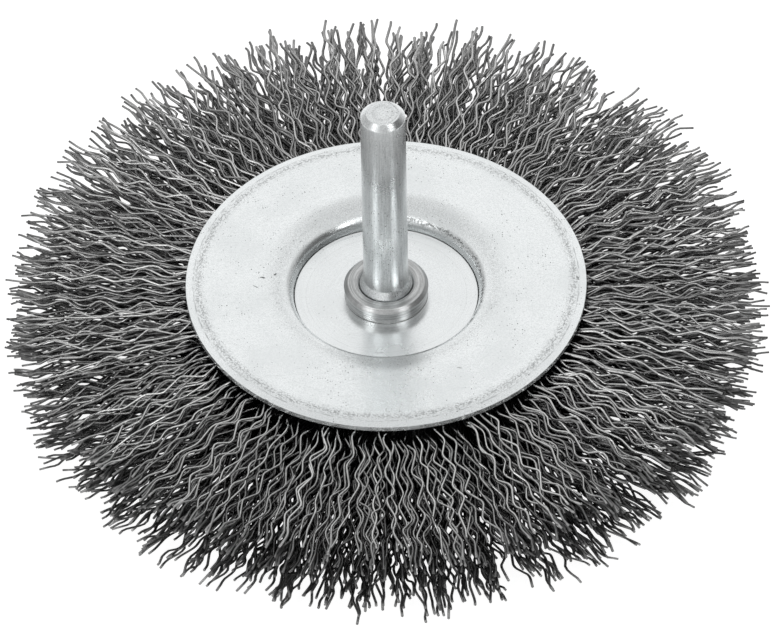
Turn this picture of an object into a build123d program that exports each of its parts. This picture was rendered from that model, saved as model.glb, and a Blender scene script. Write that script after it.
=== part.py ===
"""Crimped wire wheel brush on a plain round shank.

Two pressed plates clamp bundles of crimped steel wire round a core ring. A stepped pin passes
through the hub washers, the plate floors and a spacer. It is riveted over at the rear, and a
turned collar is staked on its foot at the front.

Frame: millimetres, +Z out along the shank, origin on the axis in the plane of the rear plate's
outer face, on which the brush rests.
"""

import os
from math import atan, atan2, cos, radians, sin, sqrt, tan

from build123d import *

# Wheel
brush_diameter = 100.0

# Shank
shank_diameter = 6.0
shank_reach = 31.9
shank_end_chamfer = 0.75
foot_diameter = 7.06
foot_taper_height = 1.0
rivet_head_diameter = 9.8
rivet_head_height = 1.4
rivet_head_chamfer = 0.5

# Collar
collar_diameter = 11.3
collar_height = 2.24
collar_top_chamfer = 0.6
collar_bore_chamfer = 0.25

# Hub washers
hub_washer_diameter = 24.0
hub_washer_thickness = 1.0
hub_washer_chamfer = 0.25

# Pressed plates
plate_diameter = 53.8
plate_sheet = 0.8
plate_gap = 13.04
rim_roll_width = 2.4
rim_roll_drop = 0.42
shoulder_width = 3.5
shoulder_drop = 1.12
shoulder_bend = 6.0
well_draft = 0.35
well_depth = 3.44
well_lip_bend = 0.9

# Hub spacer between the plate floors
spacer_diameter = 17.0

# Core ring that the wires are looped round
core_ring_section = 3.0
core_loop_wall = 1.2
core_loop_height = 8.8

# Wire bundles
bundles_per_quarter = 9
locks_per_bundle = 5
bundle_reach_past_rim = 0.25
lock_width = 1.7
lock_layer_pitch = 2.4
lock_root_depth = 2.2
lock_fan = 0.42
crimp_wave = 5.8
crimp_height = 1.25
crimp_tilt = 22.0
tip_raggedness = 3.2
tip_step = 0.382

# Clearances
hub_clearance = 0.05
washer_clearance = 0.35
core_well_clearance = 0.2
pinch_clearance = 0.05
core_clearance = 0.1
bundle_clearance = 0.08

# Heights above the rear plate's outer face
wheel_thickness = plate_gap + 2 * plate_sheet
mid_height = wheel_thickness / 2
front_floor_top = wheel_thickness - well_depth
front_washer_top = front_floor_top + hub_washer_thickness
collar_top = front_washer_top + collar_height
shank_end = collar_top + shank_reach
rear_washer_face = wheel_thickness - front_washer_top
rivet_head_face = rear_washer_face - rivet_head_height
spacer_height = 2 * (front_floor_top - plate_sheet - mid_height)

# Radii and angles
shank_radius = shank_diameter / 2
foot_radius = foot_diameter / 2
hub_bore_radius = foot_radius + hub_clearance
hub_washer_radius = hub_washer_diameter / 2
plate_radius = plate_diameter / 2
well_radius = hub_washer_radius + washer_clearance + well_draft
shoulder_radius = well_radius + shoulder_width
roll_start = plate_radius - rim_roll_width
loop_end_radius = well_radius + plate_sheet + core_well_clearance
core_radius = loop_end_radius + core_loop_wall + core_clearance + core_ring_section / 2
brush_radius = brush_diameter / 2
bundle_angle = 90.0 / bundles_per_quarter


def turned(*outline):
    """A solid turned about the Z axis from a closed outline of (radius, height) points."""
    return revolve(Plane.XZ * make_face(Polyline(*outline, close=True)), axis=Axis.Z)


def turned_ring(inner_radius, outer_radius, base, height):
    """A plain turned ring that stands on base."""
    return turned(
        (inner_radius, base),
        (outer_radius, base),
        (outer_radius, base + height),
        (inner_radius, base + height),
    )


def rim_edge(solid, radius, height):
    """The round edges of a turned solid at this radius and height."""
    return [
        edge
        for edge in solid.edges().filter_by(GeomType.CIRCLE)
        if abs(edge.radius - radius) < 1e-4 and abs(edge.arc_center.Z - height) < 1e-4
    ]


def make_shank():
    """Stepped pin: riveted head, straight foot, short taper and the plain round shank."""
    head_radius = rivet_head_diameter / 2
    pin = turned(
        (0, rivet_head_face),
        (head_radius, rivet_head_face),
        (head_radius, rear_washer_face),
        (foot_radius, rear_washer_face),
        (foot_radius, collar_top),
        (shank_radius, collar_top + foot_taper_height),
        (shank_radius, shank_end),
        (0, shank_end),
    )
    pin = chamfer(rim_edge(pin, shank_radius, shank_end), shank_end_chamfer)
    return chamfer(rim_edge(pin, head_radius, rivet_head_face), rivet_head_chamfer)


def make_collar():
    """Turned ring on the foot of the shank, chamfered at its top and at the mouth of its bore."""
    collar_radius = collar_diameter / 2
    ring = turned_ring(hub_bore_radius, collar_radius, front_washer_top, collar_height)
    ring = chamfer(rim_edge(ring, collar_radius, collar_top), collar_top_chamfer)
    return chamfer(rim_edge(ring, hub_bore_radius, collar_top), collar_bore_chamfer)


def make_hub_washer():
    """Flat disc in the well of the front plate, with its outer top edge broken."""
    disc = turned_ring(hub_bore_radius, hub_washer_radius, front_floor_top, hub_washer_thickness)
    return chamfer(rim_edge(disc, hub_washer_radius, front_washer_top), hub_washer_chamfer)


def bend(before, corner, after, radius):
    """The two points at which a bend of this radius leaves the sides of a sharp corner."""
    inward = corner - before
    outward = after - corner
    setback = radius * tan(radians(inward.get_angle(outward)) / 2)
    return [corner - inward.normalized() * setback, corner + outward.normalized() * setback]


def sheet_section(outer_face, thickness):
    """Section of a sheet of even thickness that lies on the right of its outer face."""
    sides = [(end - start).normalized() for start, end in zip(outer_face, outer_face[1:])]
    normals = [Vector(side.Y, -side.X) for side in sides]
    inner_face = []
    for point, before, after in zip(outer_face, normals[:1] + normals, normals + normals[-1:]):
        inner_face.append(point + (before + after) * (thickness / (1 + before.dot(after))))
    return make_face(Polyline(*outer_face, *reversed(inner_face), close=True))


def make_plate():
    """Pressed front plate: floor, steep well wall, sloping shoulder, flat face and rolled rim."""
    floor_start = Vector(hub_bore_radius, front_floor_top)
    floor_corner = Vector(well_radius - well_draft, front_floor_top)
    lip = Vector(well_radius, wheel_thickness - shoulder_drop)
    shoulder = Vector(shoulder_radius, wheel_thickness)
    face_end = Vector(roll_start, wheel_thickness)
    roll_middle = Vector(roll_start + rim_roll_width / 2, wheel_thickness - rim_roll_drop / 4)
    rim = Vector(plate_radius, wheel_thickness - rim_roll_drop)
    outer_face = [
        floor_start,
        floor_corner,
        *bend(floor_corner, lip, shoulder, well_lip_bend),
        *bend(lip, shoulder, face_end, shoulder_bend),
        face_end,
        roll_middle,
        rim,
    ]
    return revolve(Plane.XZ * sheet_section(outer_face, plate_sheet), axis=Axis.Z)


def make_core_ring():
    """Square-section steel ring inside the wire loops."""
    half_section = core_ring_section / 2
    return turned_ring(
        core_radius - half_section,
        core_radius + half_section,
        mid_height - half_section,
        core_ring_section,
    )


def make_bundle_root():
    """Pinched root of one bundle along +X: loop round the core ring, then the pack to the rim."""
    shoulder_slope = atan2(shoulder_drop, shoulder_radius - well_radius)
    pack_start = shoulder_radius + shoulder_bend * tan(shoulder_slope / 2)
    pack_half = plate_gap / 2 - pinch_clearance
    mouth_radius = plate_radius + bundle_reach_past_rim
    mouth_half = pack_half - rim_roll_drop - pinch_clearance
    upper = [
        (loop_end_radius, core_loop_height / 2),
        (pack_start, pack_half),
        (roll_start, pack_half),
        (mouth_radius, mouth_half),
    ]
    lower = [(radius, -half) for radius, half in reversed(upper)]
    ring_hole = core_ring_section + 2 * core_clearance
    profile = make_face(Polyline(*upper, *lower, close=True))
    profile -= Pos(core_radius, 0) * Rectangle(ring_hole, ring_hole)
    slab = extrude(Plane.XZ * profile, mouth_radius, both=True)
    half_angle = radians(bundle_angle / 2)
    apex = bundle_clearance / 2 / sin(half_angle)
    side = (mouth_radius - apex) * tan(half_angle)
    sector = make_face(Polyline((apex, 0), (mouth_radius, -side), (mouth_radius, side), close=True))
    return slab & extrude(sector, plate_gap, both=True)


def spread(number, ratio):
    """An even but irregular share from 0 to 1 for a numbered lock."""
    return (number * ratio) % 1.0


def make_lock(bundle, layer):
    """One lock of crimped wires: a three-sided bar swept along a zigzag from the root to its tip."""
    number = bundle * locks_per_bundle + layer
    middle = (locks_per_bundle - 1) / 2
    height = (layer - middle) * lock_layer_pitch
    lane = (2 * layer) % locks_per_bundle - middle
    tip_angle = radians(lane * bundle_angle / locks_per_bundle)
    root_radius = plate_radius - lock_root_depth
    flank = crimp_wave / 2
    flank_angle = atan(crimp_height / flank)
    tip_radius = brush_radius - sin(flank_angle) * lock_width / 2
    tip_radius -= tip_raggedness * spread(number, tip_step)
    tilt = radians(crimp_tilt) * (1 if number % 2 else -1)
    corners = int((tip_radius - plate_radius) / flank)

    def corner(radius, swing):
        """The centre of the lock at a radius, swung to one side of its lane by the crimp."""
        share = (radius - root_radius) / (brush_radius - root_radius)
        angle = tip_angle * (lock_fan + (1 - lock_fan) * share)
        sideways = radius * sin(angle) + swing * cos(tilt)
        return (radius * cos(angle), sideways, height + swing * sin(tilt))

    points = [corner(root_radius, 0)]
    for step in range(corners, -1, -1):
        side = 1 if (step + bundle) % 2 else -1
        points.append(corner(tip_radius - step * flank, side * crimp_height / 2))
    path = Polyline(*points)
    point_up = 90 if layer % 2 else -90
    across = Plane(origin=path @ 0, z_dir=path % 0, x_dir=(0, 1, 0))
    section = across * RegularPolygon(lock_width / sqrt(3), 3, rotation=point_up)
    return sweep(section, path=path, transition=Transition.RIGHT)


def make_bundle(bundle):
    """One bundle along +X: its locks of wire fused to their pinched root."""
    locks = [make_lock(bundle, layer) for layer in range(locks_per_bundle)]
    return Pos(Z=mid_height) * (make_bundle_root() + locks)


def turned_over(piece):
    """The same piece on the rear side of the wheel."""
    return mirror(piece, about=Plane.XY.offset(mid_height))


def all_pieces():
    """Every piece of the brush by its node name."""
    pieces = {
        "shank": make_shank(),
        "collar": make_collar(),
        "front_hub_washer": make_hub_washer(),
        "front_plate": make_plate(),
        "core_ring": make_core_ring(),
        "hub_spacer": turned_ring(
            hub_bore_radius, spacer_diameter / 2, mid_height - spacer_height / 2, spacer_height
        ),
        "rear_plate": turned_over(make_plate()),
        "rear_hub_washer": turned_over(make_hub_washer()),
    }
    quarter = [make_bundle(bundle) for bundle in range(bundles_per_quarter)]
    for number in range(4 * bundles_per_quarter):
        bundle = quarter[number % bundles_per_quarter]
        pieces[f"wire_bundle_{number + 1:02d}"] = Rot(Z=number * bundle_angle) * bundle
    return pieces


def main():
    """Build every piece and write one STEP file for each."""
    os.makedirs("parts", exist_ok=True)
    for name, piece in all_pieces().items():
        export_step(piece, f"parts/{name}.step")


main()
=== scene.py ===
"""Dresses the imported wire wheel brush: its crimped wires, zinc plates, hub discs, collar and shank.

The turned and pressed pieces are built ring by ring from their sections. The wires are drawn one
by one as crimped curves and stand, bundle by bundle, for the plain bundles of the frame.
"""

import logging
import math
from dataclasses import dataclass, field
from enum import Enum

import bpy
import numpy as np
from mathutils import Matrix, Vector


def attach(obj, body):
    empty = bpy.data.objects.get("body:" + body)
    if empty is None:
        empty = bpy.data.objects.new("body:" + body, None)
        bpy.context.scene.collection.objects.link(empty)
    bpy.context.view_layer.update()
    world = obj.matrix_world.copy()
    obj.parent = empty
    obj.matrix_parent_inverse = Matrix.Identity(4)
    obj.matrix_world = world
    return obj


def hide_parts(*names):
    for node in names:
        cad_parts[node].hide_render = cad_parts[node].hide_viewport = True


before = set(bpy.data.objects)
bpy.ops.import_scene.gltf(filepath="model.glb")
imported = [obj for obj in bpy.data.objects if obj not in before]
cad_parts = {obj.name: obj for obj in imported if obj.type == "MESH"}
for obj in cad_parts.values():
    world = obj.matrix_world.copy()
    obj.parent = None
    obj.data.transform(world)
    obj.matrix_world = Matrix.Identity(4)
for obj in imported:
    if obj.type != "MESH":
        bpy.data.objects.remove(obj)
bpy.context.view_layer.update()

log = logging.getLogger("wire_wheel_brush")

MM = 0.001
MERGE_DISTANCE = 1e-7
SMOOTH_ANGLE = math.radians(25)
PHOTO_WIDTH = 772

# The wheel's middle plane over the floor, and its plates' rim, in millimetres
MID_HEIGHT = 7.32
RIM_RADIUS = 26.9

Point = tuple[float, float]
Range = tuple[float, float]
Colour = tuple[float, float, float]
Socket = bpy.types.NodeSocket
Value = Socket | float

WHITE: Colour = (1.0, 1.0, 1.0)
BLACK: Colour = (0.0, 0.0, 0.0)


class Slot(Enum):
    """The record's material slots, one for each kind of new piece."""

    SHANK = "shank_steel"
    COLLAR = "collar_steel"
    PLATE = "plate_zinc"
    WASHER = "hub_washer_zinc"
    WIRE = "crimped_wire"


# Modelling helpers


def deselect_all() -> None:
    """Leaves edit mode with nothing selected."""
    if bpy.context.object and bpy.context.object.mode != "OBJECT":
        bpy.ops.object.mode_set(mode="OBJECT")
    bpy.ops.object.select_all(action="DESELECT")


def make_active(obj: bpy.types.Object) -> None:
    """Selects one object alone and makes it the active one.

    Args:
        obj: The object to work on.
    """
    deselect_all()
    obj.select_set(True)
    bpy.context.view_layer.objects.active = obj


def edit_all() -> None:
    """Opens the active mesh in edit mode with all of it selected."""
    bpy.ops.object.mode_set(mode="EDIT")
    bpy.ops.mesh.select_all(action="SELECT")


def close_outwards() -> None:
    """Turns every face of the open mesh outwards and leaves edit mode."""
    bpy.ops.mesh.select_all(action="SELECT")
    bpy.ops.mesh.normals_make_consistent(inside=False)
    bpy.ops.object.mode_set(mode="OBJECT")


@dataclass(frozen=True)
class Corner:
    """A corner of a section, in millimetres: its radius from the axis, its height and its bend."""

    radius: float
    height: float
    bend: float = 0.0

    @property
    def spot(self) -> Vector:
        """The corner's place in the section."""
        return Vector((self.radius, self.height))


def rounded(corners: list[Corner], steps: int = 6) -> list[Point]:
    """Rounds the corners of a section.

    Args:
        corners: The section's corners in order, each with the radius of its bend.
        steps: The straight pieces that one bend is made of.

    Returns:
        The points of the rounded outline.
    """
    least_turn = 1e-3
    points: list[Point] = []
    for index, corner in enumerate(corners):
        here = corner.spot
        towards = (corners[index - 1].spot - here).normalized()
        away = (corners[(index + 1) % len(corners)].spot - here).normalized()
        turn = math.pi - towards.angle(away, math.pi)
        if corner.bend <= 0.0 or turn < least_turn:
            points.append((here.x, here.y))
            continue
        setback = corner.bend * math.tan(turn / 2)
        centre = here + (towards + away).normalized() * math.hypot(setback, corner.bend)
        start = here + towards * setback - centre
        side = 1.0 if start.cross(away) > 0 else -1.0
        for step in range(steps + 1):
            angle = side * turn * step / steps
            points.append((
                centre.x + start.x * math.cos(angle) - start.y * math.sin(angle),
                centre.y + start.x * math.sin(angle) + start.y * math.cos(angle),
            ))
    return points


def sheet_section(face: list[Corner], thickness: float, edge_break: float) -> list[Corner]:
    """The closed section of a pressed sheet that lies on the right of its outer face.

    Args:
        face: The corners of the outer face, from the bore to the rim.
        thickness: The sheet's thickness.
        edge_break: The rounding of the four cut edges.

    Returns:
        The corners of the closed section.
    """
    spots = [corner.spot for corner in face]
    sides = [(end - start).normalized() for start, end in zip(spots, spots[1:])]
    normals = [Vector((side.y, -side.x)) for side in sides]
    last = len(face) - 1
    outer: list[Corner] = []
    inner: list[Corner] = []
    for index, spot in enumerate(spots):
        before = normals[max(index - 1, 0)]
        after = normals[min(index, last - 1)]
        place = spot + (before + after) * (thickness / (1 + before.dot(after)))
        outer_bend = face[index].bend
        inner_bend = max(outer_bend + math.copysign(thickness, before.cross(after)), edge_break)
        if index in (0, last):
            outer_bend = inner_bend = edge_break
        outer.append(Corner(spot.x, spot.y, outer_bend))
        inner.append(Corner(place.x, place.y, inner_bend))
    return outer + inner[::-1]


def lathe(name: str, outline: list[Point], segments: int, closed: bool = True) -> bpy.types.Object:
    """Turns a piece: a circle is extruded and resized from point to point of an outline.

    Args:
        name: The new object's name.
        outline: The section's points, in millimetres.
        segments: How many sides the circle has.
        closed: Whether the outline is a ring's section. If not, its two ends are capped.

    Returns:
        The turned object, with its place in its mesh.
    """
    deselect_all()
    radius, height = outline[0]
    bpy.ops.mesh.primitive_circle_add(vertices=segments, radius=radius * MM, location=(0, 0, 0))
    obj = bpy.context.object
    obj.name = name
    edit_all()
    bpy.ops.transform.translate(value=(0, 0, height * MM))
    for next_radius, next_height in outline[1:] + (outline[:1] if closed else []):
        rise = (next_height - height) * MM
        bpy.ops.mesh.extrude_edges_move(TRANSFORM_OT_translate={"value": (0, 0, rise)})
        ratio = next_radius / radius
        centre = (0, 0, next_height * MM)
        bpy.ops.transform.resize(value=(ratio, ratio, 1.0), center_override=centre)
        radius, height = next_radius, next_height
    bpy.ops.mesh.select_all(action="SELECT")
    bpy.ops.mesh.remove_doubles(threshold=MERGE_DISTANCE)
    if not closed:
        bpy.ops.mesh.fill_holes(sides=0)
    close_outwards()
    bpy.ops.object.shade_smooth_by_angle(angle=SMOOTH_ANGLE)
    return obj


def rear_copy(obj: bpy.types.Object, name: str, mid_height: float) -> bpy.types.Object:
    """A copy with its own mesh, turned over to the rear of the wheel.

    Args:
        obj: The front piece.
        name: The copy's name.
        mid_height: The height of the wheel's middle plane, in millimetres.

    Returns:
        The rear piece.
    """
    make_active(obj)
    bpy.ops.object.duplicate(linked=False)
    copy = bpy.context.object
    copy.name = name
    edit_all()
    middle = (0, 0, mid_height * MM)
    bpy.ops.transform.mirror(constraint_axis=(False, False, True), center_override=middle)
    close_outwards()
    return copy


def place_piece(
    obj: bpy.types.Object, slot: Slot, material: bpy.types.Material, *nodes: str
) -> None:
    """Puts a finished piece on the brush in the place of its frame nodes.

    Args:
        obj: The finished piece.
        slot: The material slot meant for it; it is not used.
        material: Its finish.
        *nodes: The frame nodes that it stands for.
    """
    obj.data.materials.clear()
    obj.data.materials.append(material)
    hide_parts(*nodes)
    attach(obj, "root")
    log.info("%s: %d faces for %s", obj.name, len(obj.data.polygons), ", ".join(nodes))


# Shader helpers


class Wiring:
    """Adds nodes to one node tree and joins them."""

    def __init__(self, tree: bpy.types.NodeTree) -> None:
        """Keeps the tree that the nodes go into."""
        self.tree = tree

    def join(self, source: Socket, target: Socket) -> None:
        """Joins an output to an input."""
        self.tree.links.new(source, target)

    def add(self, kind: str, inputs: dict | None = None, **settings: object) -> bpy.types.Node:
        """Adds a node.

        Args:
            kind: The node's type name.
            inputs: Its sockets by name or number, each with a value or an output to join.
            **settings: The node's own options.

        Returns:
            The new node.
        """
        node = self.tree.nodes.new(kind)
        for key, value in settings.items():
            setattr(node, key, value)
        for key, value in (inputs or {}).items():
            if isinstance(value, Socket):
                self.join(value, node.inputs[key])
            else:
                node.inputs[key].default_value = value
        return node

    def maths(
        self, operation: str, first: Value, second: Value = 0.0, third: Value = 0.0,
        clamp: bool = False,
    ) -> Socket:
        """A Math node's result for up to three values."""
        inputs = {0: first, 1: second, 2: third}
        return self.add("ShaderNodeMath", inputs, operation=operation, use_clamp=clamp).outputs[0]

    def times(self, first: Value, second: Value) -> Socket:
        """The product of two values."""
        return self.maths("MULTIPLY", first, second)

    def vectors(self, operation: str, inputs: dict) -> bpy.types.NodeOutputs:
        """A Vector Math node's outputs."""
        return self.add("ShaderNodeVectorMath", inputs, operation=operation).outputs

    def combine(self, x: Value, y: Value, z: Value = 0.0) -> Socket:
        """A vector from its three parts."""
        return self.add("ShaderNodeCombineXYZ", {0: x, 1: y, 2: z}).outputs[0]

    def parts(self, vector: Socket) -> bpy.types.NodeOutputs:
        """The three parts of a vector."""
        return self.add("ShaderNodeSeparateXYZ", {0: vector}).outputs

    def remap(
        self, value: Value, low: float, high: float, to_low: float = 0.0, to_high: float = 1.0
    ) -> Socket:
        """A smooth change of a value from one range to another.

        Args:
            value: The value.
            low: Where the change starts.
            high: Where it ends, which may lie below the start.
            to_low: The result at the start.
            to_high: The result at the end.

        Returns:
            The changed value.
        """
        inputs = {
            "Value": value, "From Min": low, "From Max": high, "To Min": to_low, "To Max": to_high,
        }
        return self.add("ShaderNodeMapRange", inputs, interpolation_type="SMOOTHSTEP").outputs[0]

    def mix(self, factor: Value, first: Socket | tuple, second: Socket | tuple) -> Socket:
        """A mix of two colours."""
        inputs = {0: factor, 6: first, 7: second}
        return self.add("ShaderNodeMix", inputs, data_type="RGBA").outputs[2]

    def noise(
        self, vector: Socket, scale: float, detail: float = 3.0, roughness: float = 0.5
    ) -> Socket:
        """Noise from 0 to 1, with the scale in turns for each unit of the vector."""
        inputs = {"Vector": vector, "Scale": scale, "Detail": detail, "Roughness": roughness}
        return self.add("ShaderNodeTexNoise", inputs).outputs["Fac"]

    def group(self, tree: bpy.types.NodeTree, inputs: dict) -> bpy.types.NodeOutputs:
        """The outputs of a node group with its values."""
        return self.add("ShaderNodeGroup", inputs, node_tree=tree).outputs

    def millimetres(self) -> Socket:
        """The object coordinates, in millimetres."""
        place = self.add("ShaderNodeTexCoord").outputs["Object"]
        return self.vectors("MULTIPLY", {0: place, 1: (1 / MM,) * 3})[0]

    def polar(self, place: Socket) -> tuple[Socket, Socket, Socket, Socket]:
        """Splits a place into its distance from the axis, its direction and its height.

        Args:
            place: The object coordinates, in millimetres.

        Returns:
            The radius, the two parts of the direction on a circle of radius 1, and the height.
        """
        least_radius = 0.01
        axes = self.parts(place)
        square_x = self.maths("POWER", axes[0], 2.0)
        square_y = self.maths("POWER", axes[1], 2.0)
        radius = self.maths("SQRT", self.maths("ADD", square_x, square_y))
        radius = self.maths("MAXIMUM", radius, least_radius)
        east = self.maths("DIVIDE", axes[0], radius)
        north = self.maths("DIVIDE", axes[1], radius)
        return radius, east, north, axes[2]

    def backdrop_share(self, mirrored: Value) -> Socket:
        """How far the plain backdrop stands in for the lit one.

        Args:
            mirrored: The share on mirrored and refracted rays.

        Returns:
            1 on the camera's own rays, and that share on mirrored and refracted ones.
        """
        paths = self.add("ShaderNodeLightPath").outputs
        bounced = self.maths("MAXIMUM", paths["Is Glossy Ray"], paths["Is Transmission Ray"])
        return self.maths("MAXIMUM", paths["Is Camera Ray"], self.times(bounced, mirrored))


class Group(Wiring):
    """A shader group, with a vector input named Place, whose nodes are being added."""

    def __init__(
        self, name: str, inputs: dict[str, float], outputs: tuple[str, ...] = ("Mask",)
    ) -> None:
        """Makes the group with its sockets.

        Args:
            name: The group's name.
            inputs: The number inputs and their usual values.
            outputs: The number outputs.
        """
        super().__init__(bpy.data.node_groups.new(name, "ShaderNodeTree"))
        sockets = self.tree.interface
        sockets.new_socket(name="Place", in_out="INPUT", socket_type="NodeSocketVector")
        for key, value in inputs.items():
            socket = sockets.new_socket(name=key, in_out="INPUT", socket_type="NodeSocketFloat")
            socket.default_value = value
        for key in outputs:
            sockets.new_socket(name=key, in_out="OUTPUT", socket_type="NodeSocketFloat")
        self.given = self.tree.nodes.new("NodeGroupInput").outputs
        self.results = self.tree.nodes.new("NodeGroupOutput").inputs

    def give(self, value: Socket, name: str = "Mask") -> None:
        """Makes a value one of the group's results."""
        self.join(value, self.results[name])


def rgba(colour: Colour) -> tuple[float, float, float, float]:
    """A colour with full alpha."""
    return (*colour, 1.0)


def new_material(name: str) -> tuple[bpy.types.Material, Wiring, bpy.types.NodeInputs]:
    """Makes a material with its one shader.

    Args:
        name: The material's name.

    Returns:
        The material, the wiring of its nodes, and its shader's inputs.
    """
    material = bpy.data.materials.new(name)
    material.use_nodes = True
    shader = material.node_tree.nodes["Principled BSDF"]
    return material, Wiring(material.node_tree), shader.inputs


@dataclass
class Effects:
    """The shader groups that several finishes share, each built once."""

    turning: bpy.types.NodeTree = field(init=False)
    grain: bpy.types.NodeTree = field(init=False)
    mottle: bpy.types.NodeTree = field(init=False)
    specks: bpy.types.NodeTree = field(init=False)
    scratches: bpy.types.NodeTree = field(init=False)
    wear_and_shade_ring: bpy.types.NodeTree = field(init=False)
    scuff: bpy.types.NodeTree = field(init=False)

    def __post_init__(self) -> None:
        """Builds the groups."""
        self.turning = self.build_turning()
        self.grain = self.build_grain()
        self.mottle = self.build_mottle()
        self.specks = self.build_specks()
        self.scratches = self.build_scratches()
        self.wear_and_shade_ring = self.build_wear_and_shade_ring()
        self.scuff = self.build_scuff()

    @staticmethod
    def build_turning() -> bpy.types.NodeTree:
        """Builds fine broken rings round the axis, as a turning tool leaves them.

        Returns:
            The group, with the rings as its mask.
        """
        group = Group("turning_marks", {"Lines": 6.0, "Length": 2.0, "Height Share": 0.0})
        given = group.given
        radius, east, north, height = group.polar(given["Place"])
        depth = group.maths("ADD", radius, group.times(height, given["Height Share"]))
        vector = group.combine(
            group.maths("DIVIDE", east, given["Length"]),
            group.maths("DIVIDE", north, given["Length"]),
            group.times(depth, given["Lines"]),
        )
        group.give(group.noise(vector, scale=1.0, detail=4.0, roughness=0.6))
        return group.tree

    @staticmethod
    def build_grain() -> bpy.types.NodeTree:
        """Builds long streaks along the axis, as drawn bar has.

        Returns:
            The group, with the streaks as its mask.
        """
        group = Group("drawn_grain", {"Across": 7.0, "Along": 0.25})
        given = group.given
        stretch = group.combine(given["Across"], given["Across"], given["Along"])
        place = group.vectors("MULTIPLY", {0: given["Place"], 1: stretch})[0]
        group.give(group.noise(place, scale=1.0, detail=4.0, roughness=0.65))
        return group.tree

    @staticmethod
    def build_mottle() -> bpy.types.NodeTree:
        """Builds the cloudy, finely mottled skin of zinc plate.

        Returns:
            The group, with the clouds and the flecks as its two masks.
        """
        scales = {"Clouds": 0.16, "Flecks": 3.0}
        group = Group("zinc_mottle", scales, ("Cloud", "Fleck"))
        bands = {"Cloud": (0.36, 0.66), "Fleck": (0.34, 0.68)}
        for scale, (output, band) in zip(scales, bands.items()):
            inputs = {0: group.given["Place"], "Scale": group.given[scale]}
            place = group.vectors("SCALE", inputs)[0]
            noise = group.noise(place, scale=1.0, detail=4.0, roughness=0.62)
            group.give(group.remap(noise, *band), output)
        return group.tree

    @staticmethod
    def build_specks() -> bpy.types.NodeTree:
        """Builds small pits and specks, scattered in loose clouds.

        Returns:
            The group, with the specks as its mask.
        """
        shake_scale, shake_reach = 6.0, 0.12
        least_size, extra_size = 0.12, 0.35
        cloud_scale, cloud_band = 0.22, (0.35, 0.65)
        group = Group("specks", {"Density": 3.0, "Amount": 0.3})
        given = group.given
        shake = group.add("ShaderNodeTexNoise", {"Vector": given["Place"], "Scale": shake_scale})
        place = group.vectors(
            "MULTIPLY_ADD", {0: shake.outputs["Color"], 1: (shake_reach,) * 3, 2: given["Place"]}
        )[0]
        inputs = {"Vector": place, "Scale": given["Density"]}
        cells = group.add("ShaderNodeTexVoronoi", inputs).outputs
        chance = group.add("ShaderNodeSeparateColor", {0: cells["Color"]}).outputs[0]
        size = group.maths("MULTIPLY_ADD", chance, extra_size, least_size)
        dot = group.maths("LESS_THAN", cells["Distance"], size)
        cloud = group.remap(group.noise(given["Place"], cloud_scale), *cloud_band)
        kept = group.maths("LESS_THAN", chance, group.times(cloud, given["Amount"]))
        group.give(group.times(dot, kept))
        return group.tree

    @staticmethod
    def build_scratches() -> bpy.types.NodeTree:
        """Builds fine straight scratches in three directions.

        Returns:
            The group, with the scratches as its mask.
        """
        tilt, stretch = 0.3, (0.14, 4.5, 4.5)
        line_band = (0.76, 0.80)
        turns_and_shifts = ((0.4, 0.0), (1.7, 31.0), (2.6, 57.0))
        group = Group("scratches", {"Amount": 0.5})
        total: Value = 0.0
        for turn, shift in turns_and_shifts:
            turned = group.add("ShaderNodeMapping", {
                "Vector": group.given["Place"], "Location": (shift, 0, 0),
                "Rotation": (tilt, 0, turn), "Scale": stretch,
            }).outputs[0]
            line = group.remap(group.noise(turned, scale=1.0, detail=1.0), *line_band)
            total = group.maths("ADD", total, line)
        group.give(group.maths("MULTIPLY", total, group.given["Amount"], clamp=True))
        return group.tree

    @staticmethod
    def build_wear_and_shade_ring() -> bpy.types.NodeTree:
        """Builds a dark ring round the axis, broken into specks and short arcs.

        Returns:
            The group, with the ring as its mask.
        """
        chips_round, chips_across, chip_band = 12.0, 5.0, (0.42, 0.58)
        waver_scale, side_band = 0.9, (-0.3, 0.5)
        group = Group("wear_and_shade_ring", {
            "Radius": 12.0, "Width": 0.2, "Waver": 0.1, "Breakup": 0.5, "Arc": 0.4, "Side": 0.0,
        })
        given = group.given
        radius, east, north, _ = group.polar(given["Place"])
        waver = group.maths("SUBTRACT", group.noise(given["Place"], waver_scale), 0.5)
        shifted = group.maths("ADD", radius, group.times(waver, given["Waver"]))
        off = group.maths("ABSOLUTE", group.maths("SUBTRACT", shifted, given["Radius"]))
        ring = group.maths("SUBTRACT", 1.0, group.maths("DIVIDE", off, given["Width"], clamp=True))
        vector = group.combine(
            group.maths("DIVIDE", group.times(east, chips_round), given["Arc"]),
            group.maths("DIVIDE", group.times(north, chips_round), given["Arc"]),
            group.times(radius, chips_across),
        )
        chips = group.remap(group.noise(vector, scale=1.0, roughness=0.7), *chip_band)
        broken = group.times(group.maths("SUBTRACT", 1.0, chips), given["Breakup"])
        one_side = group.times(group.remap(east, *side_band, 1.0, 0.0), given["Side"])
        whole = group.maths("SUBTRACT", ring, broken)
        group.give(group.maths("SUBTRACT", whole, one_side, clamp=True))
        return group.tree

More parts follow.
